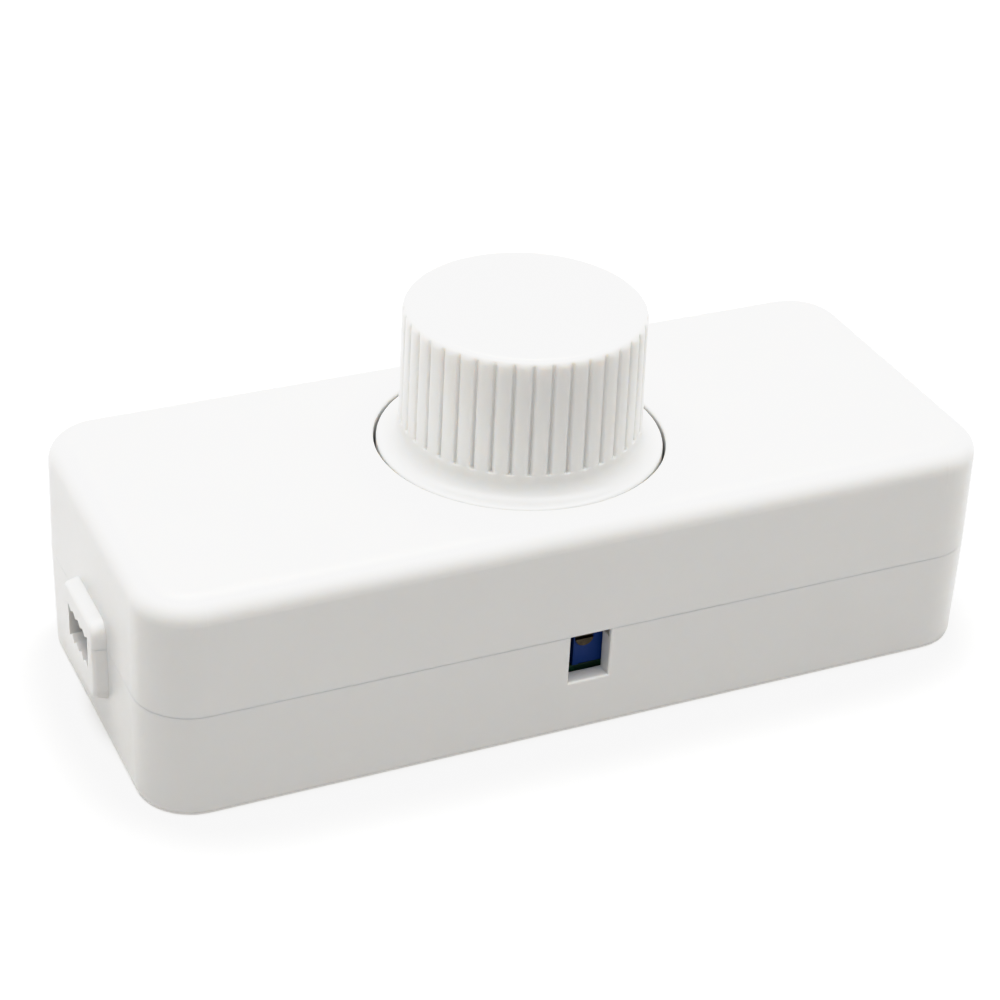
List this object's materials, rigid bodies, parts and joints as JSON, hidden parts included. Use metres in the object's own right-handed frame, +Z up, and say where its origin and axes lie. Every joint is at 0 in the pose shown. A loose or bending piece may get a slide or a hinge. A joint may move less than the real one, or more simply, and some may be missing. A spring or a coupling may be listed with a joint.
{
  "type": "inline rotary dimmer",
  "caption": "Flat two-part plastic case with a toothed cord inlet at each end, a fluted push-and-turn knob in a round well on top and a trimmer slot in the front wall.",
  "frame": {"origin": "centre of the case's flat underside", "axes": "+Z up out of the knob, +X along the case, -Y out of the wall with the trimmer slot"},
  "size_m": [0.1034, 0.0422, 0.0426],
  "materials": {
    "case_plastic": "moulded ABS, satin gloss",
    "knob_plastic": "moulded ABS, satin gloss",
    "trimmer_blue": "moulded thermoplastic",
    "brass": "machined",
    "zinc_steel": "zinc plated",
    "spring_steel": "bright",
    "nickel": "nickel plated",
    "tinned_wire": "tinned",
    "copper": "enamelled copper",
    "board_green": "solder-masked glass epoxy",
    "terminal_grey": "polyamide",
    "black_plastic": "moulded",
    "phenolic": "phenolic laminate",
    "carbon": "carbon film",
    "white_polymer": "acetal",
    "clear_glass": "clear",
    "aluminium": "mill finish",
    "ferrite": "sintered ferrite",
    "capacitor_yellow": "moulded box",
    "capacitor_red": "dipped",
    "capacitor_black": "sleeved can",
    "resistor_tan": "lacquered",
    "diac_blue": "lacquered"
  },
  "bodies": {
    "housing": {"lower_shell": "case_plastic", "upper_shell": "case_plastic", "case_screws": "zinc_steel", "input_terminal_block": "terminal_grey", "input_terminal_cages": "nickel", "input_terminal_screws": "zinc_steel", "output_terminal_block": "terminal_grey", "output_terminal_cages": "nickel", "output_terminal_screws": "zinc_steel", "terminal_pins": "tinned_wire", "switch_base": "black_plastic", "switch_fixed_contacts": "brass", "switch_spring": "spring_steel", "pot_wafer": "phenolic", "pot_track": "carbon", "pot_cover": "zinc_steel", "pot_bushing": "brass", "pot_terminals": "tinned_wire", "bushing_washer": "zinc_steel", "bushing_nut": "nickel", "trimmer_body": "trimmer_blue", "trimmer_pins": "tinned_wire", "fuse_tube": "clear_glass", "fuse_caps": "nickel", "fuse_clips": "nickel", "heat_sink": "aluminium", "triac_tab": "nickel", "triac_body": "black_plastic", "triac_leads": "tinned_wire", "heat_sink_screw": "zinc_steel", "heat_sink_nut": "zinc_steel", "choke_core": "ferrite", "choke_winding": "copper", "suppression_capacitor": "capacitor_yellow", "timing_capacitor": "capacitor_red", "electrolytic_capacitor": "capacitor_black", "capacitor_leads": "tinned_wire", "resistors": "resistor_tan", "resistor_leads": "tinned_wire", "diac": "diac_blue", "diac_leads": "tinned_wire", "controller_chip": "black_plastic", "chip_pins": "tinned_wire", "circuit_board": "board_green", "board_screws": "zinc_steel"},
    "push_carriage": {"switch_plunger": "white_polymer", "switch_contact_ring": "brass"},
    "knob_assembly": {"knob": "knob_plastic", "knob_clip": "spring_steel", "control_shaft": "aluminium", "shaft_clip": "spring_steel"},
    "wiper_assembly": {"pot_wiper": "white_polymer", "pot_wiper_contact": "brass"},
    "trimmer_spindle": {"trimmer_screw": "brass"},
    "trimmer_rotor": {"trimmer_wheel": "white_polymer"}
  },
  "joints": [
    {"name": "knob_push", "type": "slide", "parent": "housing", "child": "push_carriage", "axis": [0, 0, -1], "range_m": [0, 0.0015], "stiffness_N_per_m": 1500, "springref_m": -0.001, "deforming": ["switch_spring"]},
    {"name": "knob_turn", "type": "hinge", "parent": "push_carriage", "child": "knob_assembly", "pos_m": [0, 0, 0.03], "axis": [0, 0, 1], "range_deg": [-270, 0]},
    {"name": "wiper_turn", "type": "hinge", "parent": "housing", "child": "wiper_assembly", "pos_m": [0, 0, 0.016], "axis": [0, 0, 1], "range_deg": [-270, 0]},
    {"name": "trimmer_screw_turn", "type": "hinge", "parent": "housing", "child": "trimmer_spindle", "pos_m": [0.00017, -0.018, 0.01056], "axis": [0, -1, 0], "continuous": true},
    {"name": "trimmer_wheel_turn", "type": "hinge", "parent": "housing", "child": "trimmer_rotor", "pos_m": [0.0046, -0.0137, 0.0106], "axis": [0, 0, 1], "continuous": true}
  ],
  "couplings": [
    {"joint": "wiper_turn", "follows": "knob_turn", "ratio": 1},
    {"joint": "trimmer_wheel_turn", "follows": "trimmer_screw_turn", "ratio": 0.03}
  ]
}
